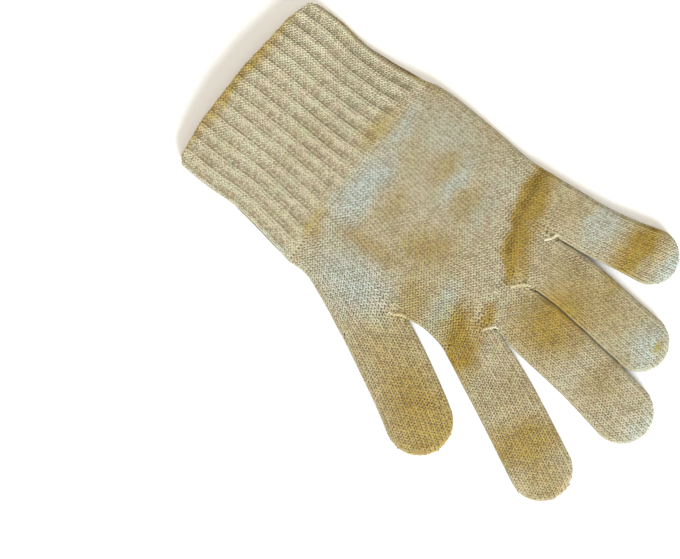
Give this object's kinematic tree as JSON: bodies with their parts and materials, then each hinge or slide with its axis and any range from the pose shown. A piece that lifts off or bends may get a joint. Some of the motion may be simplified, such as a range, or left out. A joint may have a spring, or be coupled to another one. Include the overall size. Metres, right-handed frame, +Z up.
{
  "type": "knitted wool glove",
  "caption": "Soft hollow knitted glove with a ribbed cuff, a thumb and fingers, lying flat and open at the wrist.",
  "frame": {"origin": "under the middle of the hand, on the plane that the glove rests on", "axes": "+Y from the cuff to the fingertips, +X towards the thumb, +Z up out of the resting plane"},
  "size_m": [0.1492, 0.2412, 0.0133],
  "materials": {
    "ribbed_wool": "beige marled wool in a two by two rib, matte and slightly fuzzy",
    "knitted_wool": "beige marled wool in plain stocking stitch, matte and slightly fuzzy"
  },
  "bodies": {
    "root": {"cuff": "ribbed_wool", "hand": "knitted_wool", "thumb": "knitted_wool", "index_finger": "knitted_wool", "middle_finger": "knitted_wool", "ring_finger": "knitted_wool", "little_finger": "knitted_wool"}
  },
  "joints": []
}
